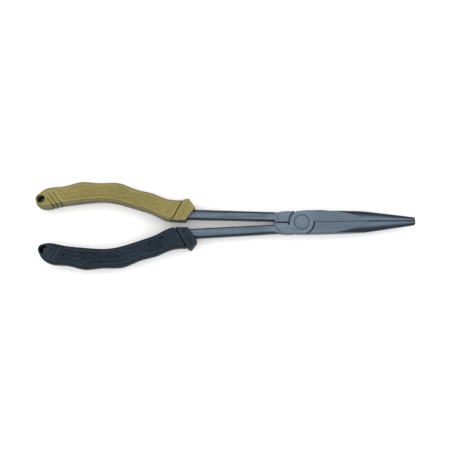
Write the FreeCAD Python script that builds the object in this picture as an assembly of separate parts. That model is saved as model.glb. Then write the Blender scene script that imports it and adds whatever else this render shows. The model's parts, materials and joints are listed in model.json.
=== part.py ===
"""Long-reach fishing pliers: two forged levers crossing in a half lap on one rivet.

Frame: Z is the rivet's axis, with Z = 0 on the underside of the head. The jaws point along +X
and the handles along -X. The tan handle lies on +Y, the black one on -Y. The levers cross at
the rivet, so the black half carries the +Y jaw and its lap lies on top. All sizes are in mm.
"""
import FreeCAD, Part
import math
import os

from FreeCAD import Vector

os.makedirs("parts", exist_ok=True)

# ---- head and jaws ----
HEAD_THICK = 9.4
HEAD_HALF_WIDTH = 8.25
HEAD_REAR = -19.6           # rear end of the two necks
STEP_X = -17.4              # one face steps down to the rein straight across here
SLANT_OUTER = (-13.9, 8.5)  # the lap's own face steps down on a slant, between these two points
SLANT_INNER = (HEAD_REAR, 2.7)
WAIST_DEPTH = 0.9           # the head is this much narrower, each side, where it meets the reins
WAIST_LENGTH = 5.0          # it widens to its full width over this length
BULGE = 0.5                 # beside the lap the upper (+Y) flank stands out this much more
BULGE_ENDS = (-2.0, 24.0)
BULGE_TOP = (3.0, 15.0)
JAW_REACH = 84.0            # rivet axis to jaw tip
FLANK_BEND = 12.0           # the flanks start to close in here
TAPER_START = 47.0          # the flanks run straight from here to the tip
TAPER_HALF_WIDTH = 7.85
TIP_HALF_WIDTH = 3.0
TIP_HALF_THICK = 2.7
TIP_CORNER = 0.7
NOSE_APEX = 48.6            # the flat face narrows to a point here
NOSE_APEX_HALF_WIDTH = 7.8  # of the rounded section there
NOSE_LAND = 0.1             # the rounding leaves a straight land this wide along each flank
NOSE_REAR = 21.0            # the rounded section starts here, outside the flanks
NOSE_SPREAD = 0.13          # its half width and half height grow by these, per mm towards the rear
NOSE_RISE = 0.093
HEAD_EDGE = 0.25            # radius of the edges round the flat faces
NOSE_BEVEL = 0.42           # of the rounded nose's edges along the line between the jaws
JAW_GAP = 0.10
NECK_GAP = 0.80             # slot between the two necks
NOTCH = 1.4                 # corner relief where the slot meets the lap
NOTCH_OVERLAP = 0.15        # how far it cuts into the lap

# ---- lap joint and rivet ----
LAP_SPLIT = HEAD_THICK / 2
LAP_GAP = 0.05              # between the two lap faces
LAP_RADIUS = 8.95
RECESS_RADIUS = 9.70        # shoulder that clears the other lever's lap
RIVET_HEAD_RADIUS = 5.35
RIVET_SHANK_RADIUS = 3.5
RIVET_HEAD_THICK = 2.0
RIVET_SINK = 0.05           # heads sit this far under the faces
RIVET_BEVEL = 0.25          # of its rims and of the edges of its hole
RUNNING_CLEARANCE = 0.04

# ---- teeth ----
TOOTH_PITCH = 1.25
TOOTH_DEPTH = 0.5
TEETH_START = 49.75
TEETH_END = 82.5

# ---- reins and tangs ----
REIN_THICK = 7.6
REIN_FRONT = -15.0
REIN_REAR = -92.0
REIN_OUTER_FRONT = 7.95     # distance from the centre plane at REIN_FRONT
REIN_OUTER_REAR = 11.5
REIN_INNER_FRONT = 1.2
REIN_INNER_REAR = 3.9
REIN_OUTER_EDGE = 2.8
REIN_INNER_EDGE = 1.5
TANG_THICK = 5.0
TANG_HALF_WIDTH = 2.3

# ---- grips ----
GRIP_THICK = 14.5           # over the two raised face panels
GRIP_SIDE_THICK = 11.6      # of the rounded side that stands out round the panels
GRIP_SIDE_EDGE = 2.4
PANEL_INSET = 1.5
PANEL_EDGE = 0.45
GUARD_CORNER_EDGE = 0.9
GUARD_FACE_EDGE = 0.8
GUARD_REAR_LENGTH = 12.0    # the collar is drawn this far behind the seam and cut off there
CORE_THICK = 8.6
CORE_HALF_WIDTH = 4.3
BLACK_GRIP_SHIFT = 2.4      # the black grip sits this much further forward
LANYARD_RADIUS = 3.1
TAN_LANYARD = (-191.9, 19.6)
BLACK_LANYARD = (-191.9, 17.9)      # before the black grip's shift
EYELET_WALL = 0.8           # raised rim round the lanyard hole
SEAM_WIDTH = 0.7
SEAM_DEPTH = 1.3            # the guard's spigot closes the seam this far below the surface
GROOVE_WIDTH = 0.8
GROOVE_DEPTH = 0.25         # on the flat faces
GROOVE_SIDE_DEPTH = 2.6     # on the inner side
GROOVE_WEB = 2.4            # at middle height the inner side is left whole over this thickness
GROOVE_WEB_SINK = 0.5       # and lies this far inside the surface
GROOVE_TURN = 36.0          # degrees from straight across the tail
GROOVE_FOOT = 14.0          # distance of their inner ends from the centre plane
TAIL_GROOVES = ((-182.6, 6.0), (-179.1, 10.2), (-175.3, 10.6))  # x of the foot, reach across

MID = HEAD_THICK / 2        # every piece is symmetric about this height
FAR = 400.0                 # larger than the object, for cutting tools
OVER = 1.0                  # how far cutting tools reach past a surface

# Outline of one moulded handle, on +Y, from the front of its outer side round the tail.
GRIP_OUTER = [(-78.0, 17.9), (-88.0, 17.7), (-96.0, 18.1), (-103.0, 20.2), (-110.0, 23.2),
              (-119.0, 25.4), (-128.4, 29.0), (-134.3, 31.1), (-140.0, 31.6), (-152.0, 31.6),
              (-159.5, 32.4), (-163.9, 32.2), (-170.0, 30.6), (-177.5, 29.1), (-186.0, 28.4)]
GRIP_TAIL = [(-190.0, 27.0), (-193.6, 23.8), (-195.5, 20.3), (-195.7, 17.0), (-194.1, 14.4)]
GRIP_INNER = [(-191.2, 13.1), (-188.0, 12.9), (-178.0, 14.8), (-166.0, 16.4), (-152.0, 17.7),
              (-141.0, 17.3), (-133.0, 15.5), (-119.0, 11.2), (-108.0, 7.1), (-100.8, 3.5),
              (-96.0, 2.4), (-88.0, 2.4), (-78.0, 2.3)]

# Middle line of the tang and of the core round it.
TANG_PATH = [(-90.0, 8.1), (-97.0, 10.4), (-104.0, 13.1), (-119.0, 18.5), (-132.0, 23.0),
             (-148.0, 24.6), (-165.0, 24.0), (-180.0, 21.6)]
CORE_END = (-184.5, 20.9)

# Middle line of the tail, along which the grooves leave the moulding whole.
TAIL_MIDDLE = [(-194.0, 20.4), (-186.0, 20.8), (-178.0, 22.0), (-168.0, 23.8)]

# The collar in front of the seam.
SEAM_TOP = (-87.2, 17.5)
SEAM_BOTTOM = (-95.6, 2.7)
TAN_GUARD = [(-82.9, 18.6), (-78.1, 11.5), (-85.7, 2.2)]      # corner, tip and heel
BLACK_GUARD = [(-84.0, 19.2), (-79.4, 13.4), (-86.0, 2.8)]    # before the black grip's shift


def vec(point, z=0.0):
    """A plan point at height z."""
    return Vector(point[0], point[1], z)


def box(x_range, y_range, z_range):
    """Axis-aligned block."""
    size = [high - low for low, high in (x_range, y_range, z_range)]
    return Part.makeBox(*size, Vector(x_range[0], y_range[0], z_range[0]))


def disc(radius, z_low, z_high, centre=(0.0, 0.0)):
    """Upright cylinder."""
    return Part.makeCylinder(radius, z_high - z_low, vec(centre, z_low))


def spline(points, z):
    """Smooth edge through plan points."""
    curve = Part.BSplineCurve()
    curve.interpolate([vec(p, z) for p in points])
    return curve.toShape()


def centred_prism(edges_at, thickness):
    """Prism of a plan outline, centred on the middle height. edges_at(z) gives the outline."""
    low = MID - thickness / 2
    face = Part.Face(Part.Wire(edges_at(low)))
    return face.extrude(Vector(0, 0, thickness))


def polygon_prism(points, thickness):
    """Prism with straight sides, centred on the middle height."""
    def edges(z):
        corners = [vec(p, z) for p in points + points[:1]]
        return Part.makePolygon(corners).Edges
    return centred_prism(edges, thickness)


def mirrored(shape):
    """The same shape for the -Y side."""
    return shape.mirror(Vector(0, 0, 0), Vector(0, 1, 0))


def flat_edges(solid, thickness):
    """Edges that lie in the upper or the lower flat face of a centred prism."""
    levels = (MID - thickness / 2, MID + thickness / 2)
    return [e for e in solid.Edges
            if any(abs(e.BoundBox.ZMin - z) < 1e-4 and abs(e.BoundBox.ZMax - z) < 1e-4
                   for z in levels)]


def beside(points, distance, steps):
    """Plan points at a distance to the left of the smooth curve through the given points."""
    curve = spline(points, 0.0).Curve
    first, last = curve.FirstParameter, curve.LastParameter
    shifted = []
    for i in range(steps + 1):
        u = first + (last - first) * i / steps
        centre = curve.value(u)
        along = curve.tangent(u)[0]
        shifted.append((centre.x - distance * along.y, centre.y + distance * along.x))
    return shifted


def ribbon(path, half_width, thickness):
    """Bar of constant width along a smooth plan path."""
    steps = 12
    left = beside(path, half_width, steps)
    right = beside(path, -half_width, steps)

    def edges(z):
        return [spline(left, z), Part.makeLine(vec(left[-1], z), vec(right[-1], z)),
                spline(right[::-1], z), Part.makeLine(vec(right[0], z), vec(left[0], z))]
    return centred_prism(edges, thickness)


# ---- steel ----

def head_outline_prism():
    """Both jaws, the lap and both necks as one block, in plan."""
    waist = HEAD_HALF_WIDTH - WAIST_DEPTH
    upper = [(HEAD_REAR, waist), (STEP_X, waist),
             (STEP_X + 0.4 * WAIST_LENGTH, waist + 0.6 * WAIST_DEPTH),
             (STEP_X + WAIST_LENGTH, HEAD_HALF_WIDTH), (FLANK_BEND, HEAD_HALF_WIDTH),
             (TAPER_START, TAPER_HALF_WIDTH), (JAW_REACH - TIP_CORNER, TIP_HALF_WIDTH),
             (JAW_REACH, TIP_HALF_WIDTH - TIP_CORNER)]
    lower = [(x, -y) for x, y in reversed(upper)]
    (rear, front), (top_rear, top_front) = BULGE_ENDS, BULGE_TOP
    inside = HEAD_HALF_WIDTH - OVER
    bulge = polygon_prism([(rear, inside), (rear, HEAD_HALF_WIDTH),
                           (top_rear, HEAD_HALF_WIDTH + BULGE),
                           (top_front, HEAD_HALF_WIDTH + BULGE),
                           (front, TAPER_HALF_WIDTH), (front, inside)], HEAD_THICK)
    return polygon_prism(upper + lower, HEAD_THICK).fuse(bulge).removeSplitter()


def ellipse_section(x, half_width, half_thick):
    """Upright ellipse across the nose."""
    curve = Part.Ellipse(Vector(x, 0, MID), half_width, half_thick)
    turned = curve.toShape()
    turned.rotate(Vector(x, 0, MID), Vector(0, 1, 0), 90)
    if half_width > half_thick:
        turned.rotate(Vector(x, 0, MID), Vector(1, 0, 0), 90)
    return Part.Wire([turned])


def nose_envelope():
    """Elliptical cone that rounds the jaws and leaves their flat faces pointed."""
    back = NOSE_APEX - NOSE_REAR
    rear_half_width = NOSE_APEX_HALF_WIDTH + NOSE_SPREAD * back
    sections = [ellipse_section(NOSE_REAR, rear_half_width, MID + NOSE_RISE * back),
                ellipse_section(NOSE_APEX, NOSE_APEX_HALF_WIDTH, MID),
                ellipse_section(JAW_REACH, TIP_HALF_WIDTH + NOSE_LAND, TIP_HALF_THICK)]
    nose = Part.makeLoft(sections, True, True)
    rear_x = (HEAD_REAR - OVER, NOSE_REAR + OVER / 2)
    return nose.fuse(box(rear_x, (-FAR, FAR), (-OVER, HEAD_THICK + OVER)))


def nose_bevels():
    """V grooves that bevel both jaws' edges along the rounded nose, above and below."""
    reach = NOSE_BEVEL + OVER
    corners = [Vector(NOSE_APEX, 0, HEAD_THICK - NOSE_BEVEL),
               Vector(NOSE_APEX, reach, HEAD_THICK + OVER),
               Vector(NOSE_APEX, -reach, HEAD_THICK + OVER)]
    section = Part.Face(Part.makePolygon(corners + corners[:1]))
    along = Vector(JAW_REACH - NOSE_APEX, 0, TIP_HALF_THICK - MID) * (1 + OVER / JAW_REACH)
    upper = section.extrude(along)
    return [upper, upper.mirror(Vector(0, 0, MID), Vector(0, 0, 1))]


def tooth_comb(jaw_side):
    """Row of V grooves across a jaw's gripping face."""
    surface = jaw_side * JAW_GAP / 2
    below = -jaw_side * OVER
    points = [(TEETH_START, surface + below)]
    for i in range(int((TEETH_END - TEETH_START) / TOOTH_PITCH)):
        x = TEETH_START + i * TOOTH_PITCH
        points += [(x, surface), (x + TOOTH_PITCH / 2, surface + jaw_side * TOOTH_DEPTH)]
    end = points[-1][0] + TOOTH_PITCH / 2
    points += [(end, surface), (end, surface + below)]
    return polygon_prism(points, HEAD_THICK + 2 * OVER)


def lap_heights(lap_on_top):
    """Height range of a lever's own lap and of the other lever's recess in it."""
    if lap_on_top:
        return (LAP_SPLIT + LAP_GAP / 2, HEAD_THICK), (-OVER, LAP_SPLIT + LAP_GAP / 2)
    return (0.0, LAP_SPLIT - LAP_GAP / 2), (LAP_SPLIT - LAP_GAP / 2, HEAD_THICK + OVER)


def lever_head(rein_side, lap_on_top):
    """Jaw, half lap and neck of one lever."""
    jaw_side = -rein_side
    all_heights = (-OVER, HEAD_THICK + OVER)
    jaw_y = sorted((jaw_side * JAW_GAP / 2, jaw_side * FAR))
    neck_y = sorted((rein_side * NECK_GAP / 2, rein_side * FAR))
    quarters = box((0, FAR), jaw_y, all_heights).fuse(box((-FAR, 0), neck_y, all_heights))
    blank = head_outline_prism().common(nose_envelope())
    own, other = lap_heights(lap_on_top)
    lap = disc(LAP_RADIUS, *own).common(blank)
    head = blank.common(quarters).cut(disc(RECESS_RADIUS, *other)).fuse(lap)
    notch_y = sorted((rein_side * NECK_GAP / 2, rein_side * (NECK_GAP / 2 + NOTCH)))
    if lap_on_top:
        notch_x = (-LAP_RADIUS - NOTCH, -LAP_RADIUS + NOTCH_OVERLAP)
        head = head.cut(box(notch_x, notch_y, all_heights))
    return head.cut(tooth_comb(jaw_side))


def face_steps(rein_side, lap_on_top):
    """What is cut off the two faces of the neck to bring them down to the rein's thickness."""
    back, side = 2 * HEAD_REAR, 2 * HEAD_HALF_WIDTH
    straight = [(back, -OVER), (STEP_X, -OVER), (STEP_X, side), (back, side)]
    slanted = [(back, -OVER), (HEAD_REAR, -OVER), SLANT_INNER, SLANT_OUTER,
               (SLANT_OUTER[0], side), (back, side)]
    upper, lower = (slanted, straight) if lap_on_top else (straight, slanted)
    lift = (REIN_THICK + HEAD_THICK) / 2
    cutters = [polygon_prism(upper, HEAD_THICK), polygon_prism(lower, HEAD_THICK)]
    cutters[0].translate(Vector(0, 0, lift))
    cutters[1].translate(Vector(0, 0, -lift))
    return [c if rein_side > 0 else mirrored(c) for c in cutters]


def face_rims(body):
    """Edges round the head's two flat faces, without those of the rivet's hole and the nose."""
    rims = []
    for e in flat_edges(body, HEAD_THICK):
        at_hole = getattr(e.Curve, "Radius", LAP_RADIUS) < LAP_RADIUS
        if not at_hole and e.Curve.TypeId != "Part::GeomBSplineCurve":
            rims.append(e)
    return rims


def rein():
    """Straight bar on +Y from the head into the guard, rounded more on its outer side."""
    corners = [(REIN_FRONT, REIN_OUTER_FRONT), (REIN_REAR, REIN_OUTER_REAR),
               (REIN_REAR, REIN_INNER_REAR), (REIN_FRONT, REIN_INNER_FRONT)]
    bar = polygon_prism(corners, REIN_THICK)
    middle = sum(y for _, y in corners) / len(corners)
    for radius, side in ((REIN_OUTER_EDGE, +1), (REIN_INNER_EDGE, -1)):
        long_edges = [e for e in flat_edges(bar, REIN_THICK) if e.Length > abs(REIN_REAR) / 2]
        outermost = max(side * (e.CenterOfMass.y - middle) for e in long_edges)
        bar = bar.makeFillet(radius, [e for e in long_edges
                                      if side * (e.CenterOfMass.y - middle) > outermost - 0.1])
    return bar


def moved(shape, shift):
    """The same shape, further forward."""
    copy = shape.copy()
    copy.translate(Vector(shift, 0, 0))
    return copy


def tang(shift):
    """Narrow bar on +Y that carries the moulded handle."""
    return moved(ribbon(TANG_PATH, TANG_HALF_WIDTH, TANG_THICK), shift)


def rivet():
    """Shank with two flat bevelled heads."""
    low, high = RIVET_SINK, HEAD_THICK - RIVET_SINK
    shank = disc(RIVET_SHANK_RADIUS, low, high)
    lower = disc(RIVET_HEAD_RADIUS, low, RIVET_HEAD_THICK)
    upper = disc(RIVET_HEAD_RADIUS, HEAD_THICK - RIVET_HEAD_THICK, high)
    body = shank.fuse([lower, upper]).removeSplitter()
    rims = [e for e in body.Edges
            if e.BoundBox.ZMax < low + 1e-4 or e.BoundBox.ZMin > high - 1e-4]
    return body.makeChamfer(RIVET_BEVEL, rims)


def rivet_hole(clearance):
    """Stepped hole for the rivet, open at both faces, with bevelled edges."""
    radius = RIVET_HEAD_RADIUS + clearance
    step_low = RIVET_HEAD_THICK + clearance
    step_high = HEAD_THICK - step_low
    shank = disc(RIVET_SHANK_RADIUS + clearance, 0.0, HEAD_THICK)
    lower = disc(radius, -OVER, step_low)
    upper = disc(radius, step_high, HEAD_THICK + OVER)
    low_edge = Part.makeCone(radius + RIVET_BEVEL, radius, RIVET_BEVEL)
    high_edge = Part.makeCone(radius, radius + RIVET_BEVEL, RIVET_BEVEL,
                              Vector(0, 0, HEAD_THICK - RIVET_BEVEL))
    return shank.fuse([lower, upper, low_edge, high_edge])


def lever(rein_side, lap_on_top, shift):
    """One whole forging: jaw, lap, neck, rein and tang."""
    clearance = RUNNING_CLEARANCE if lap_on_top else 0.0
    body = lever_head(rein_side, lap_on_top).cut(face_steps(rein_side, lap_on_top))
    bars = rein().fuse(tang(shift))
    body = body.fuse(bars if rein_side > 0 else mirrored(bars))
    body = body.cut(rivet_hole(clearance)).removeSplitter()
    return body.makeFillet(HEAD_EDGE, face_rims(body)).cut(nose_bevels())


# ---- moulded handle ----

def handle_slab(inset, thickness, edge_radius):
    """Prism of the moulded outline, made smaller all round by inset, with rounded rims."""
    steps = 60
    side = GRIP_OUTER + GRIP_TAIL + GRIP_INNER
    if inset:
        side = beside(side, inset, steps)

    def edges(z):
        return [spline(side, z), Part.makeLine(vec(side[-1], z), vec(side[0], z))]
    slab = centred_prism(edges, thickness)
    rims = [e for e in flat_edges(slab, thickness) if e.Length > thickness * 2]
    return slab.makeFillet(edge_radius, rims)


def handle_blank(lanyard):
    """Rounded side with a raised panel and eyelet on each face, not yet parted at the seam."""
    side = handle_slab(0, GRIP_SIDE_THICK, GRIP_SIDE_EDGE)
    eyelet = disc(LANYARD_RADIUS + EYELET_WALL, MID - GRIP_THICK / 2, MID + GRIP_THICK / 2,
                  lanyard)
    eyelet = eyelet.makeFillet(PANEL_EDGE, flat_edges(eyelet, GRIP_THICK))
    return side.fuse([handle_slab(PANEL_INSET, GRIP_THICK, PANEL_EDGE), eyelet])


def seam_side(front):
    """Everything in front of the seam, or behind it, less half the seam's width."""
    run = vec(SEAM_TOP).sub(vec(SEAM_BOTTOM)).normalize()
    forward = Vector(run.y, -run.x, 0)
    offset = forward * (SEAM_WIDTH / 2 if front else -SEAM_WIDTH / 2)
    direction = forward if front else forward * -1
    a = vec(SEAM_TOP) + run * FAR + offset
    b = vec(SEAM_BOTTOM) - run * FAR + offset
    far_side = direction * FAR
    corners = [(p.x, p.y) for p in (a, b, b + far_side, a + far_side)]
    return polygon_prism(corners, GRIP_THICK + 2 * OVER)


def tail_grooves():
    """Slanted grooves across the tail's faces, deep where they run out over the inner side."""
    half_tail = (GRIP_OUTER[-1][1] - GRIP_INNER[1][1]) / 2
    keep = ribbon(TAIL_MIDDLE, half_tail - GROOVE_SIDE_DEPTH, GRIP_THICK - 2 * GROOVE_DEPTH)
    keep = keep.fuse(ribbon(TAIL_MIDDLE, half_tail - GROOVE_WEB_SINK, GROOVE_WEB))
    lean = math.radians(GROOVE_TURN)
    half_width = GROOVE_WIDTH / 2
    cutters = []
    for foot, reach in TAIL_GROOVES:
        slab = box((-half_width, half_width), (-GROOVE_FOOT / 2, reach / math.cos(lean)),
                   (MID - GRIP_THICK, MID + GRIP_THICK))
        slab.rotate(Vector(0, 0, 0), Vector(0, 0, 1), GROOVE_TURN)
        slab.translate(Vector(foot, GROOVE_FOOT, 0))
        cutters.append(slab.cut(keep))
    return cutters


def handle_core(shift):
    """Rigid sleeve moulded on the tang, inside the soft grip."""
    sleeve = ribbon(TANG_PATH[1:] + [CORE_END], CORE_HALF_WIDTH, CORE_THICK)
    return moved(sleeve.common(seam_side(False)), shift).cut([tang(shift), rein()])


def grip(shift, lanyard):
    """Soft moulding from the seam to the tail, with the lanyard hole."""
    skin = handle_blank(lanyard).common(seam_side(False))
    hole = disc(LANYARD_RADIUS, MID - GRIP_THICK, MID + GRIP_THICK, lanyard)
    skin = moved(skin.cut([hole] + tail_grooves()), shift)
    return skin.cut([handle_core(shift), tang(shift), rein()])


def guard(shift, front):
    """Pointed collar in front of the seam, with a spigot that meets the grip's front face."""
    points = [SEAM_TOP, *front, SEAM_BOTTOM]
    rear = [(x - GUARD_REAR_LENGTH, y) for x, y in (SEAM_BOTTOM, SEAM_TOP)]
    collar = polygon_prism(points + rear, GRIP_THICK)
    upright = [e for e in collar.Edges
               if e.BoundBox.ZLength > OVER and e.CenterOfMass.x > SEAM_TOP[0] + OVER]
    collar = collar.makeFillet(GUARD_CORNER_EDGE, upright)
    collar = collar.common(seam_side(True))
    collar = collar.makeFillet(GUARD_FACE_EDGE, flat_edges(collar, GRIP_THICK))
    spigot = handle_slab(SEAM_DEPTH, GRIP_THICK - 2 * SEAM_DEPTH, PANEL_EDGE)
    spigot = spigot.cut([seam_side(True), seam_side(False)])
    return moved(collar.fuse(spigot), shift).cut([tang(shift), rein()])


def save(node, shape):
    """Write one node, and say what it is."""
    solids = shape.Solids
    if len(solids) != 1 or not shape.isValid():
        raise RuntimeError(f"{node}: {len(solids)} solids, valid {shape.isValid()}")
    solids[0].exportStep(f"parts/{node}.step")
    b = shape.BoundBox
    print(f"{node:18s} {shape.Volume:9.1f} mm3  x {b.XMin:7.2f}..{b.XMax:6.2f}"
          f"  y {b.YMin:6.2f}..{b.YMax:6.2f}  z {b.ZMin:5.2f}..{b.ZMax:5.2f}")


def main():
    halves = (("tan", +1, False, 0.0, TAN_LANYARD, TAN_GUARD),
              ("black", -1, True, BLACK_GRIP_SHIFT, BLACK_LANYARD, BLACK_GUARD))
    for colour, rein_side, lap_on_top, shift, lanyard, front in halves:
        save(f"{colour}_side_lever", lever(rein_side, lap_on_top, shift))
        handle = {"grip_core": handle_core(shift), "grip": grip(shift, lanyard),
                  "front_guard": guard(shift, front)}
        for piece, shape in handle.items():
            save(f"{colour}_{piece}", shape if rein_side > 0 else mirrored(shape))
    save("pivot_rivet", rivet())


main()
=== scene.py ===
import json
import math
import random

import bmesh
import bpy
import numpy as np
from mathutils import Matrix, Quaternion, Vector, geometry


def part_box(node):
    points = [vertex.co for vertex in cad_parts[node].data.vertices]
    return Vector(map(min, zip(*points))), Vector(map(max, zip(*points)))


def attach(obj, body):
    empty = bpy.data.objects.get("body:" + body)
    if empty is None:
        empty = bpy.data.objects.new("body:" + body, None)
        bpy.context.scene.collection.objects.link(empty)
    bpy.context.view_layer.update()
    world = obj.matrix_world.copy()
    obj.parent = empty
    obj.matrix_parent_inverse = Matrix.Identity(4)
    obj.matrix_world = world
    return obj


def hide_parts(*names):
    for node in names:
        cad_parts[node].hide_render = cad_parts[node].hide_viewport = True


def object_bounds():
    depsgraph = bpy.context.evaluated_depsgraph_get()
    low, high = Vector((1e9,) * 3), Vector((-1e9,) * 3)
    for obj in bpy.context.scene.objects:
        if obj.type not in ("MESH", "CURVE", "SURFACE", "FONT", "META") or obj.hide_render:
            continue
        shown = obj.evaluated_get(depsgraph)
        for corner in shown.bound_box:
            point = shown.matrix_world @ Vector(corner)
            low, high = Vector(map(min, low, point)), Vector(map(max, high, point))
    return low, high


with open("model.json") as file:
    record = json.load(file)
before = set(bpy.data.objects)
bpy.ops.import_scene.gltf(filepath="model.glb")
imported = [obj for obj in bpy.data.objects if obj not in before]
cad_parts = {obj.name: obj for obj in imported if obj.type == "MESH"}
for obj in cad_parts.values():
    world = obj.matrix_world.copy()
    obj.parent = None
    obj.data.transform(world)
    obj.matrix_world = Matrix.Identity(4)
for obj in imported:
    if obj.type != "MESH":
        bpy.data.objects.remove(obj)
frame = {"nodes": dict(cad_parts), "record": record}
CAD_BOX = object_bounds()

# Looks of the long-reach fishing pliers. Metres, in the frame of the CAD model: Z is the rivet's
# axis, the jaws point along +X, the tan handle lies on +Y and the black one on -Y.
MM = 0.001

# ---- view ----
VIEW_ELEVATION = 81.0       # degrees above the floor, looking along +Y
VIEW_ROLL = 0.8             # degrees, the jaws' end a little higher in the picture
VIEW_LENS = 78.0            # mm, on a 36 mm sensor
VIEW_WIDTH = 0.333          # metres of the object's plane across the picture
VIEW_OFFSET = (-0.5 * MM, -0.75 * MM)   # what the camera looks at, from the middle of the object

# ---- studio ----
FLOOR_SIZE = 40.0
FLOOR_SHADES = ((0.90, 0.90, 0.90), (0.92, 0.92, 0.92))
SOFTBOXES = ((30, 4.0), (150, 4.0), (270, 5.0))     # azimuth in degrees, power in watts
SOFTBOX_ELEVATION = 48      # degrees
SOFTBOX_DISTANCE = 1.1      # metres from the rivet
SOFTBOX_SIZE = 1.1
SURROUNDING = 1.0           # strength of the even white light from all sides

# ---- surfaces ----
# painted shade: each steel's flank colour, darker than its face colour, stands in for the dark
# reflections on its sides
LEVER_STEEL = {"face": (0.099, 0.130, 0.164), "painted_shade_flank": (0.022, 0.030, 0.040)}
RIVET_STEEL = {"face": (0.096, 0.126, 0.155), "painted_shade_flank": (0.030, 0.041, 0.052)}
LEVER_GRAIN = 0.03 * MM     # depth of the blasted grain
RIVET_GRAIN = 0.02 * MM
NECKS = (-30 * MM, -18 * MM)    # X where the drawn reins turn into the ground head
JAW_ROOTS = (2 * MM, 16 * MM)   # X where the head turns into the jaws, which carry painted shade
HEAD_GAIN = 1.24            # brightness of the head against the reins
JAWS_PAINTED_SHADE = 0.79            # painted shade: brightness of the jaws against the head
HEAD_STREAKS = 0.3          # strength of the lengthwise streaks on the head, 1 on the reins
# Painted shade in each rubber: its darker colours stand for the shade in the relief's recesses,
# on its sides and in narrow grooves and corners.
TAN_RUBBER = {"painted_recess_shade": (0.150, 0.123, 0.041), "face": (0.204, 0.174, 0.063),
              "painted_side_shade": (0.113, 0.111, 0.070), "painted_crevice_shade": (0.112, 0.086, 0.026), "mottling": 0.09}
BLACK_RUBBER = {"painted_recess_shade": (0.003, 0.006, 0.009), "face": (0.0165, 0.0245, 0.034),
                "painted_side_shade": (0.0065, 0.0105, 0.0145), "painted_crevice_shade": (0.002, 0.003, 0.004),
                "mottling": 0.28}
CORE_PLASTIC = (0.03, 0.03, 0.035)
STEEL_CREVICES = 1.2 * MM   # width of the grooves and corners darkened with painted shade
RUBBER_CREVICES = 1.6 * MM
CREVICE_SAMPLES = 8
NOISE_RANGE = (0.3, 0.7)    # where most values of a noise lie

# ---- relief of the grips' and guards' faces ----
GRID = 0.34 * MM            # spacing of the relief's mesh
GRID_GAP = 0.6 * GRID       # between the rims of a face and the nearest points of the grid
BORDER = 0.9 * MM           # plain rim between the edge of a face and its relief
SLOPE = 0.4 * MM            # over which the relief reaches its depth
FIELD_DEPTH = 0.03 * MM     # the relief's field lies this much below the rim
FIELD_END = 2 * MM          # between the face's front end and the last column of facets
FACET_LENGTH = 6.4 * MM     # spacing of the facets' corners along the face
FACET_PLACES = (0.15, 0.85)     # each corner's place within that spacing, at random
FACET_ROWS = (-0.9, 0.0, 0.9)   # places of the corners across the face
ROW_JITTER = 0.2            # how far a corner leaves its row, at random
FACET_RISE = 0.12 * MM      # spread of the corners' depths
LINE_DEPTH = 0.26 * MM      # of the lines engraved between the facets
LINE_HALF_WIDTH = 0.5 * MM
DIVIDERS = (27.8 * MM, 45.5 * MM)   # ahead of the lanyard hole, lines straight across the grip
GROOVE_LEAN = math.radians(36)      # of the tail's grooves, and of the relief's start
RELIEF_START = 15.5 * MM    # ahead of the lanyard hole
RIB_PITCH = 1.5 * MM        # of the fine ribs beside the seam
RIB_DEPTH = 0.22 * MM
GRIP_RIBS = 9.0 * MM        # length of the grip's face that is ribbed, from the seam
GUARD_RIBS = 3 * RIB_PITCH  # the same on the guard's face
GRIP_SEEDS = {"tan_grip": 4, "black_grip": 11}      # of the facets' corners and depths
DEEPEST = FIELD_DEPTH + FACET_RISE + LINE_DEPTH
SHARP_ANGLE = math.radians(50)      # edges sharper than this stay sharp

# ---- tolerances ----
FLAT = 0.999                # least |Z| of a flat face's normal
LEVEL_ERROR = 0.01 * MM     # between a face's vertices and its height
MERGE_DISTANCE = 0.001 * MM
PLAN_ERROR = 1e-9           # of the triangulations
LEAST_LENGTH = 1e-9         # of a span


def make_camera():
    """Look down at the middle of the object, nearly from above."""
    lo, hi = CAD_BOX
    centre = (lo + hi) / 2 + Vector((*VIEW_OFFSET, 0))
    camera = bpy.data.objects.new("camera", bpy.data.cameras.new("camera"))
    bpy.context.scene.collection.objects.link(camera)
    camera.data.lens = VIEW_LENS
    distance = VIEW_WIDTH * VIEW_LENS / camera.data.sensor_width
    elevation = math.radians(VIEW_ELEVATION)
    back = Vector((0, -math.cos(elevation), math.sin(elevation)))
    camera.rotation_mode = "QUATERNION"
    roll = Quaternion(back, math.radians(-VIEW_ROLL))
    camera.rotation_quaternion = roll @ (-back).to_track_quat("-Z", "Y")
    camera.location = centre + back * distance
    bpy.context.scene.camera = camera


# ---- nodes of the materials ----

def start_material(name, **values):
    """New node material. values are constants of its Principled shader, by input name."""
    mat = bpy.data.materials.new(name)
    mat.use_nodes = True
    shader = mat.node_tree.nodes["Principled BSDF"]
    for key, value in values.items():
        shader.inputs[key.replace("_", " ")].default_value = value
    return mat, mat.node_tree, shader


def object_point(tree, stretch=(1, 1, 1)):
    """Position on the piece in metres, multiplied by a factor along each axis."""
    coords = tree.nodes.new("ShaderNodeTexCoord")
    mapping = tree.nodes.new("ShaderNodeMapping")
    mapping.inputs["Scale"].default_value = stretch
    tree.links.new(coords.outputs["Object"], mapping.inputs["Vector"])
    return mapping.outputs["Vector"]


def noise(tree, point, size, detail=3.0, roughness=0.55):
    """Cloudy variation from 0 to 1, with features of a size in metres."""
    node = tree.nodes.new("ShaderNodeTexNoise")
    node.inputs["Scale"].default_value = 1 / size
    node.inputs["Detail"].default_value = detail
    node.inputs["Roughness"].default_value = roughness
    tree.links.new(point, node.inputs["Vector"])
    return node.outputs["Fac"]


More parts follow.
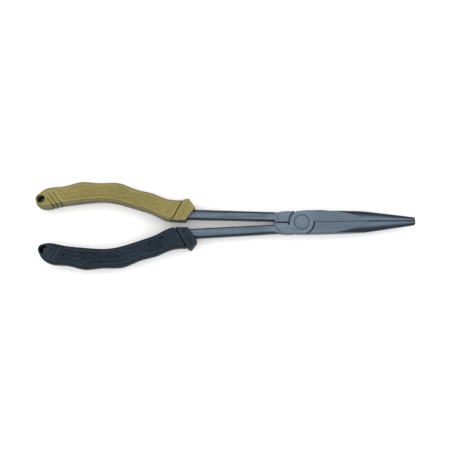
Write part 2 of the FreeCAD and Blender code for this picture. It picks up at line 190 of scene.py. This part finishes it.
def remap(tree, value, low, high, to_low=0.0, to_high=1.0):
    """The value moved from one range to another, with soft ends."""
    node = tree.nodes.new("ShaderNodeMapRange")
    node.interpolation_type = "SMOOTHSTEP"
    node.inputs["From Min"].default_value = low
    node.inputs["From Max"].default_value = high
    node.inputs["To Min"].default_value = to_low
    node.inputs["To Max"].default_value = to_high
    tree.links.new(value, node.inputs["Value"])
    return node.outputs["Result"]


def vary(tree, clouds, low, high):
    """A noise's usual values, spread between two values."""
    return remap(tree, clouds, *NOISE_RANGE, low, high)


def blend_colour(tree, factor, first, second, mode="MIX"):
    """Mix of two colours. They and the factor are constants or sockets."""
    node = tree.nodes.new("ShaderNodeMix")
    node.data_type = "RGBA"
    node.blend_type = mode
    for socket, value in (("Factor_Float", factor), ("A_Color", first), ("B_Color", second)):
        target = next(i for i in node.inputs if i.identifier == socket)
        if isinstance(value, bpy.types.NodeSocket):
            tree.links.new(value, target)
        elif isinstance(value, tuple):
            target.default_value = (*value, 1.0)
        else:
            target.default_value = value
    return next(o for o in node.outputs if o.identifier == "Result_Color")


def multiply(tree, colour, gain, strength=1.0):
    """The colour multiplied by a gain, in part where the strength is below 1."""
    return blend_colour(tree, strength, colour, gain, "MULTIPLY")


def arithmetic(tree, operation, *values):
    """One step of maths on sockets or constants."""
    node = tree.nodes.new("ShaderNodeMath")
    node.operation = operation
    for target, value in zip(node.inputs, values):
        if isinstance(value, bpy.types.NodeSocket):
            tree.links.new(value, target)
        else:
            target.default_value = value
    return node.outputs["Value"]


def bump(tree, height, depth, normal=None):
    """Shading normal of a height from 0 to 1, that deep in metres."""
    node = tree.nodes.new("ShaderNodeBump")
    node.inputs["Distance"].default_value = depth
    tree.links.new(height, node.inputs["Height"])
    if normal is not None:
        tree.links.new(normal, node.inputs["Normal"])
    return node.outputs["Normal"]


def upward(tree):
    """1 where the surface faces up or down, 0 on the sides."""
    coords = tree.nodes.new("ShaderNodeTexCoord")
    split = tree.nodes.new("ShaderNodeSeparateXYZ")
    tree.links.new(coords.outputs["Normal"], split.inputs["Vector"])
    return arithmetic(tree, "ABSOLUTE", split.outputs["Z"])


def crevices(tree, reach):
    """1 on open surfaces, less in grooves and corners narrower than the reach."""
    node = tree.nodes.new("ShaderNodeAmbientOcclusion")
    node.inputs["Distance"].default_value = reach
    node.samples = CREVICE_SAMPLES
    return node.outputs["AO"]


def place_along(tree, point):
    """The point's X, 0 at the rivet, in metres."""
    split = tree.nodes.new("ShaderNodeSeparateXYZ")
    tree.links.new(point, split.inputs["Vector"])
    return split.outputs["X"]


# ---- materials ----

def zoned_steel(tree, point, colour):
    """The colour with a brighter ground head, jaws darkened with painted shade and streaked
    reins.
    """
    place = place_along(tree, point)
    colour = multiply(tree, colour, remap(tree, place, *NECKS, 1.0, HEAD_GAIN))
    # painted shade: the jaws made darker than the head
    colour = multiply(tree, colour, remap(tree, place, *JAW_ROOTS, 1.0, JAWS_PAINTED_SHADE))
    streaks = noise(tree, object_point(tree, (0.02, 1, 1)), 1.7 * MM, detail=2.0)
    strength = remap(tree, place, *NECKS, 1.0, HEAD_STREAKS)
    return multiply(tree, colour, vary(tree, streaks, 0.80, 1.20), strength)


def steel_material(name, grain_depth, face, painted_shade_flank):
    """Satin forged steel: ground faces with a fine blasted grain; flanks, grooves and corners
    darkened with painted shade.
    """
    mat, tree, shader = start_material(name, Metallic=1.0)
    point = object_point(tree)
    # painted shade: surfaces that turn away from up or down take the darker flank colour
    facing = remap(tree, upward(tree), 0.86, 0.998)
    clouds = noise(tree, point, 9 * MM, detail=2.0)
    grain = noise(tree, point, 0.8 * MM, detail=4.0, roughness=0.7)
    scratches = noise(tree, object_point(tree, (0.05, 1, 1)), 0.5 * MM, detail=2.0)
    colour = zoned_steel(tree, point, blend_colour(tree, facing, painted_shade_flank, face))
    colour = multiply(tree, colour, vary(tree, grain, 0.80, 1.16))
    colour = multiply(tree, colour, vary(tree, clouds, 0.94, 1.05))
    # painted shade: grooves and corners darkened
    crevice_shading = remap(tree, crevices(tree, STEEL_CREVICES), 0.05, 0.55, 0.1, 1.0)
    tree.links.new(multiply(tree, colour, crevice_shading), shader.inputs["Base Color"])
    rough = remap(tree, grain, 0.2, 0.8, 0.36, 0.50)
    uneven = arithmetic(tree, "ADD", rough, vary(tree, clouds, -0.04, 0.04))
    tree.links.new(uneven, shader.inputs["Roughness"])
    blasted = bump(tree, grain, grain_depth)
    tree.links.new(bump(tree, scratches, 0.01 * MM, blasted), shader.inputs["Normal"])
    return mat


def rubber_material(name, painted_recess_shade, face, painted_side_shade, painted_crevice_shade, mottling):
    """Moulded soft grip: fine grain, with painted shade in the relief's recesses, on the sides
    and in the grooves.
    """
    mat, tree, shader = start_material(name, Specular_IOR_Level=0.06)
    point = object_point(tree)
    clouds = noise(tree, point, 14 * MM, detail=3.0)
    mottle = noise(tree, point, 1.6 * MM, detail=4.0, roughness=0.65)
    grain = noise(tree, point, 0.28 * MM, detail=2.0)
    # painted shade: the deeper the relief, the darker its colour
    height = tree.nodes.new("ShaderNodeAttribute")
    height.attribute_name = "relief"
    colour = blend_colour(tree, height.outputs["Fac"], painted_recess_shade, face)
    # painted shade: the sides take the darker side colour
    colour = blend_colour(tree, remap(tree, upward(tree), 0.35, 0.95), painted_side_shade, colour)
    colour = multiply(tree, colour, vary(tree, clouds, 0.92, 1.07))
    colour = multiply(tree, colour, vary(tree, mottle, 1 - mottling, 1 + mottling))
    # painted shade: grooves and corners darkened towards the crevice colour
    crevice_shading = remap(tree, crevices(tree, RUBBER_CREVICES), 0.25, 0.95)
    tree.links.new(blend_colour(tree, crevice_shading, painted_crevice_shade, colour), shader.inputs["Base Color"])
    tree.links.new(vary(tree, mottle, 0.52, 0.66), shader.inputs["Roughness"])
    soft = bump(tree, mottle, 0.05 * MM)
    tree.links.new(bump(tree, grain, 0.03 * MM, soft), shader.inputs["Normal"])
    return mat


def plastic_material(name, base):
    """Rigid moulded sleeve inside the grips."""
    mat, tree, shader = start_material(name)
    flow = noise(tree, object_point(tree, (0.2, 1, 1)), 2 * MM)
    grain = noise(tree, object_point(tree), 0.4 * MM)
    colour = multiply(tree, base, vary(tree, flow, 0.85, 1.1))
    tree.links.new(colour, shader.inputs["Base Color"])
    tree.links.new(vary(tree, flow, 0.4, 0.55), shader.inputs["Roughness"])
    tree.links.new(bump(tree, grain, 0.02 * MM), shader.inputs["Normal"])
    return mat


# ---- plan of a flat face ----

def main_face(mesh, level):
    """The largest connected patch of a bmesh's flat faces at a height."""
    left = {f for f in mesh.faces
            if abs(f.normal.z) > FLAT and all(abs(v.co.z - level) < LEVEL_ERROR for v in f.verts)}
    patches = []
    while left:
        patch, edge_of_patch = set(), [left.pop()]
        while edge_of_patch:
            face = edge_of_patch.pop()
            patch.add(face)
            beside = {f for e in face.edges for f in e.link_faces if f in left}
            left -= beside
            edge_of_patch += beside
        patches.append(patch)
    return max(patches, key=lambda patch: sum(f.calc_area() for f in patch))


def rims(patch):
    """Plan points of the closed lines round a patch and its holes, the outer line first."""
    following = {}
    for face in patch:
        for loop in face.loops:
            if sum(f in patch for f in loop.edge.link_faces) == 1:
                following[loop.vert] = loop.link_loop_next.vert
    rings = []
    while following:
        vert = min(following, key=lambda v: tuple(v.co))    # the same start each run
        ring = []
        while vert in following:
            ring.append((vert.co.x, vert.co.y))
            vert = following.pop(vert)
        rings.append(np.array(ring))
    return sorted(rings, key=lambda ring: -np.ptp(ring[:, 0]))


def closed_spans(ring):
    """Start and end of each side of a closed line."""
    return list(zip(ring, np.roll(ring, -1, axis=0)))


def enclosed(points, ring):
    """Whether each plan point lies inside a closed line."""
    inside = np.zeros(len(points), bool)
    x, y = points.T
    for a, b in closed_spans(ring):
        if a[1] != b[1]:
            crossing = a[0] + (y - a[1]) * (b[0] - a[0]) / (b[1] - a[1])
            inside ^= ((a[1] > y) != (b[1] > y)) & (x < crossing)
    return inside


def distance_to_spans(points, spans):
    """Distance from each plan point to the nearest of the straight spans."""
    best = np.full(len(points), np.inf)
    for a, b in spans:
        along = b - a
        share = np.clip((points - a) @ along / max(along @ along, LEAST_LENGTH ** 2), 0, 1)
        gap = points - (a + share[:, None] * along)
        best = np.minimum(best, np.hypot(gap[:, 0], gap[:, 1]))
    return best


def longest(spans):
    """The longest of the straight spans."""
    return max(spans, key=lambda span: np.hypot(*(span[1] - span[0])))


def grid_over(ring):
    """Plan points of a triangular grid that covers a closed line."""
    low, high = ring.min(axis=0), ring.max(axis=0)
    row_height = GRID * math.sqrt(0.75)     # of equilateral triangles
    points = []
    for j, y in enumerate(np.arange(low[1], high[1], row_height)):
        shift = GRID / 2 * (j % 2)
        points += [(x, y) for x in np.arange(low[0] + shift, high[0], GRID)]
    return np.array(points)


def fine_plan(rings):
    """Plan points and triangles that fill a face, with its rims' own points on its rims."""
    spans = [span for ring in rings for span in closed_spans(ring)]
    grid = grid_over(rings[0])
    grid = grid[distance_to_spans(grid, spans) > GRID_GAP]
    corners = [Vector(p) for p in (*np.concatenate(rings), *grid)]
    sides = []
    for ring in rings:
        first = len(sides)
        sides += [(first + i, first + (i + 1) % len(ring)) for i in range(len(ring))]
    plan, _, triangles, *_ = geometry.delaunay_2d_cdt(corners, sides, [], 0, PLAN_ERROR)
    points = np.array([tuple(p) for p in plan])
    centres = points[np.array(triangles)].mean(axis=1)
    kept = enclosed(centres, rings[0])
    for hole in rings[1:]:
        kept &= ~enclosed(centres, hole)
    return points, [triangle for triangle, keep in zip(triangles, kept) if keep]


# ---- depth of the relief, over plan points ----

def soft_step(values, low, high):
    """0 below the range, 1 above it, smooth between."""
    t = np.clip((values - low) / (high - low), 0, 1)
    return t * t * (3 - 2 * t)


def line_profile(away):
    """1 in the middle of an engraved line, 0 beside it."""
    return 1 - soft_step(away, 0, LINE_HALF_WIDTH)


def column(ring, x):
    """Lowest and highest y of a closed line at an x."""
    ys = [a[1] + (b[1] - a[1]) * (x - a[0]) / (b[0] - a[0])
          for a, b in closed_spans(ring) if (a[0] - x) * (b[0] - x) < 0]
    return min(ys), max(ys)


def across_face(ring, x, share):
    """Plan point at an x, from the lower (-1) to the upper (1) end of the relief there."""
    low, high = column(ring, x)
    half = (high - low) / 2 - BORDER
    return np.array((x, (low + high) / 2 + share * half))


def facet_corners(ring, rear, front, choice):
    """Unevenly spread corners of the triangular facets that cover a face."""
    columns = round((front - rear) / FACET_LENGTH)
    pitch = (front - rear) / columns
    return [Vector(across_face(ring, rear + pitch * (i + choice.uniform(*FACET_PLACES)),
                               row + choice.uniform(-ROW_JITTER, ROW_JITTER)))
            for i in range(columns) for row in FACET_ROWS]


def facet_relief(points, corners, choice):
    """Depth over flat triangular facets, with a line engraved along each of their edges."""
    plan, edges, triangles, *_ = geometry.delaunay_2d_cdt(corners, [], [], 0, PLAN_ERROR)
    plan = np.array([tuple(p) for p in plan])
    corner_depths = np.array([choice.uniform(0, FACET_RISE) for _ in plan])
    depths = np.zeros(len(points))
    for triangle in triangles:
        inside = enclosed(points, plan[triangle])
        corner_columns = np.vstack((plan[triangle].T, np.ones(3)))
        point_columns = np.vstack((points[inside].T, np.ones(inside.sum())))
        shares = np.linalg.solve(corner_columns, point_columns)     # of each corner in a point
        depths[inside] = corner_depths[triangle] @ shares
    return depths + LINE_DEPTH * line_profile(distance_to_spans(points, plan[np.array(edges)]))


def grip_seam(ring):
    """The side of a grip's face that runs along the seam: its longest in the front half."""
    middle = (ring[:, 0].min() + ring[:, 0].max()) / 2
    return longest([(a, b) for a, b in closed_spans(ring) if (a[0] + b[0]) / 2 > middle])


def distance_to_seam(points, seam):
    """Distance from each plan point to the straight line of the seam."""
    start, end = seam
    along = (end - start) / np.hypot(*(end - start))
    gap = points - start
    return np.abs(gap[:, 0] * along[1] - gap[:, 1] * along[0])


def rib_relief(away, inset, length):
    """Depth of fine ribs, from distances to the seam and to the rims, as far as a length."""
    wave = 0.5 - 0.5 * np.cos(2 * math.pi * away / RIB_PITCH)
    start = soft_step(away, RIB_PITCH, 1.5 * RIB_PITCH)
    end = 1 - soft_step(away, length, length + SLOPE)
    return RIB_DEPTH * wave * (start * end) * soft_step(inset, BORDER / 2, BORDER)


def ahead_of_hole(points, name):
    """How far each plan point of a grip lies ahead of its lanyard hole, and out beside it."""
    colour = name.split("_")[0]
    hole = next(m for m in frame["record"]["mounts"] if m["name"] == colour + "_lanyard_hole")
    x, y, _ = hole["pos_m"]
    return points[:, 0] - x, np.abs(points[:, 1]) - abs(y)


def grip_relief(name):
    """Depth of a grip's face: engraved facets, then ribs beside the seam."""
    choice = random.Random(GRIP_SEEDS[name])

    def depth(points, ring):
        inset = distance_to_spans(points, closed_spans(ring))
        away = distance_to_seam(points, grip_seam(ring))
        ahead, beside = ahead_of_hole(points, name)
        past_grooves = ahead + beside * math.tan(GROOVE_LEAN) - RELIEF_START
        start = GRIP_RIBS + BORDER
        field = (soft_step(away, start, start + SLOPE) * soft_step(inset, BORDER, BORDER + SLOPE)
                 * soft_step(past_grooves, 0, SLOPE))
        rear = points[past_grooves > 0, 0].min()
        corners = facet_corners(ring, rear, ring[:, 0].max() - FIELD_END, choice)
        facets = facet_relief(points, corners, choice)
        for divider in DIVIDERS:
            facets = np.maximum(facets, LINE_DEPTH * line_profile(np.abs(ahead - divider)))
        return field * (FIELD_DEPTH + facets) + rib_relief(away, inset, GRIP_RIBS)
    return depth


def guard_relief(points, ring):
    """Depth of a guard's face: faint ribs beside the seam."""
    spans = closed_spans(ring)
    away = distance_to_seam(points, longest(spans))
    return rib_relief(away, distance_to_spans(points, spans), GUARD_RIBS)


# ---- pieces ----

def carve(mesh, level, inward, depth_at, relief):
    """Replace a bmesh's main flat face at a height by a fine one with relief."""
    patch = main_face(mesh, level)
    rings = rims(patch)
    bmesh.ops.delete(mesh, geom=list(patch), context="FACES")
    points, triangles = fine_plan(rings)
    depths = depth_at(points, rings[0])
    verts = {}
    for i in sorted({i for triangle in triangles for i in triangle}):
        verts[i] = mesh.verts.new((*points[i], level + inward * depths[i]))
        verts[i][relief] = 1 - depths[i] / DEEPEST
    for triangle in triangles:
        mesh.faces.new([verts[i] for i in triangle])


def carved_copy(node, body, material, depth_at):
    """A piece that stands for a CAD node, with relief on both of its flat faces."""
    mesh = bmesh.new()
    mesh.from_mesh(frame["nodes"][node].data)
    bmesh.ops.remove_doubles(mesh, verts=mesh.verts, dist=MERGE_DISTANCE)
    relief = mesh.verts.layers.float.new("relief")      # 1 on plain surfaces, 0 at the deepest
    for vert in mesh.verts:
        vert[relief] = 1.0
    lo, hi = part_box(node)
    carve(mesh, lo.z, 1, depth_at, relief)
    carve(mesh, hi.z, -1, depth_at, relief)
    bmesh.ops.remove_doubles(mesh, verts=mesh.verts, dist=MERGE_DISTANCE)
    bmesh.ops.recalc_face_normals(mesh, faces=mesh.faces)
    data = bpy.data.meshes.new(node + "_moulding")
    mesh.to_mesh(data)
    mesh.free()
    data.shade_smooth()
    data.set_sharp_from_angle(angle=SHARP_ANGLE)
    data.materials.append(material)
    piece = bpy.data.objects.new(node + "_moulding", data)
    bpy.context.scene.collection.objects.link(piece)
    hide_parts(node)
    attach(piece, body)


def finish_node(node, material):
    """Give a CAD node its material."""
    piece = frame["nodes"][node]
    piece.data.materials.clear()
    piece.data.materials.append(material)


def make_pieces():
    """Every piece of the pliers: the moulded ones carved, the others finished as they are."""
    steel = steel_material("lever_steel_satin", LEVER_GRAIN, **LEVER_STEEL)
    rivet = steel_material("rivet_steel_satin", RIVET_GRAIN, **RIVET_STEEL)
    sleeve = plastic_material("core_plastic_black", CORE_PLASTIC)
    tan = rubber_material("tan_rubber_moulded", **TAN_RUBBER)
    black = rubber_material("black_rubber_moulded", **BLACK_RUBBER)
    for colour, rubber in (("tan", tan), ("black", black)):
        body = colour + "_half"
        grip = colour + "_grip"
        carved_copy(grip, body, rubber, grip_relief(grip))
        carved_copy(colour + "_front_guard", body, rubber, guard_relief)
        finish_node(colour + "_grip_core", sleeve)
        finish_node(colour + "_side_lever", steel)
    finish_node("pivot_rivet", rivet)


# ---- studio ----

def add_floor():
    """Pale matt floor under the object."""
    lo, _ = CAD_BOX
    bpy.ops.mesh.primitive_plane_add(size=FLOOR_SIZE, location=(0, 0, lo.z))
    floor = bpy.context.object
    floor.name = "floor"
    mat, tree, shader = start_material("floor_paint", Roughness=0.9, Specular_IOR_Level=0.1)
    mottle = noise(tree, object_point(tree), 0.4, detail=2.0)
    tree.links.new(blend_colour(tree, mottle, *FLOOR_SHADES), shader.inputs["Base Color"])
    floor.data.materials.append(mat)


def add_softbox(name, azimuth, power):
    """Square soft light that shines at the middle of the object."""
    lo, hi = CAD_BOX
    turn, rise = math.radians(azimuth), math.radians(SOFTBOX_ELEVATION)
    direction = Vector((math.cos(turn) * math.cos(rise), math.sin(turn) * math.cos(rise),
                        math.sin(rise)))
    lamp = bpy.data.objects.new(name, bpy.data.lights.new(name, "AREA"))
    bpy.context.scene.collection.objects.link(lamp)
    lamp.data.size = SOFTBOX_SIZE
    lamp.data.energy = power
    lamp.location = direction * SOFTBOX_DISTANCE
    lamp.rotation_mode = "QUATERNION"
    lamp.rotation_quaternion = ((lo + hi) / 2 - lamp.location).to_track_quat("-Z", "Y")


def make_stage():
    """Pale floor, soft lights and an even white surrounding."""
    add_floor()
    for i, (azimuth, power) in enumerate(SOFTBOXES):
        add_softbox(f"softbox_{i}", azimuth, power)
    world = bpy.data.worlds.new("studio")
    bpy.context.scene.world = world
    world.use_nodes = True
    background = world.node_tree.nodes["Background"]
    background.inputs["Color"].default_value = (1, 1, 1, 1)
    background.inputs["Strength"].default_value = SURROUNDING
    bpy.context.scene.view_settings.view_transform = "Standard"


make_camera()
make_pieces()
make_stage()
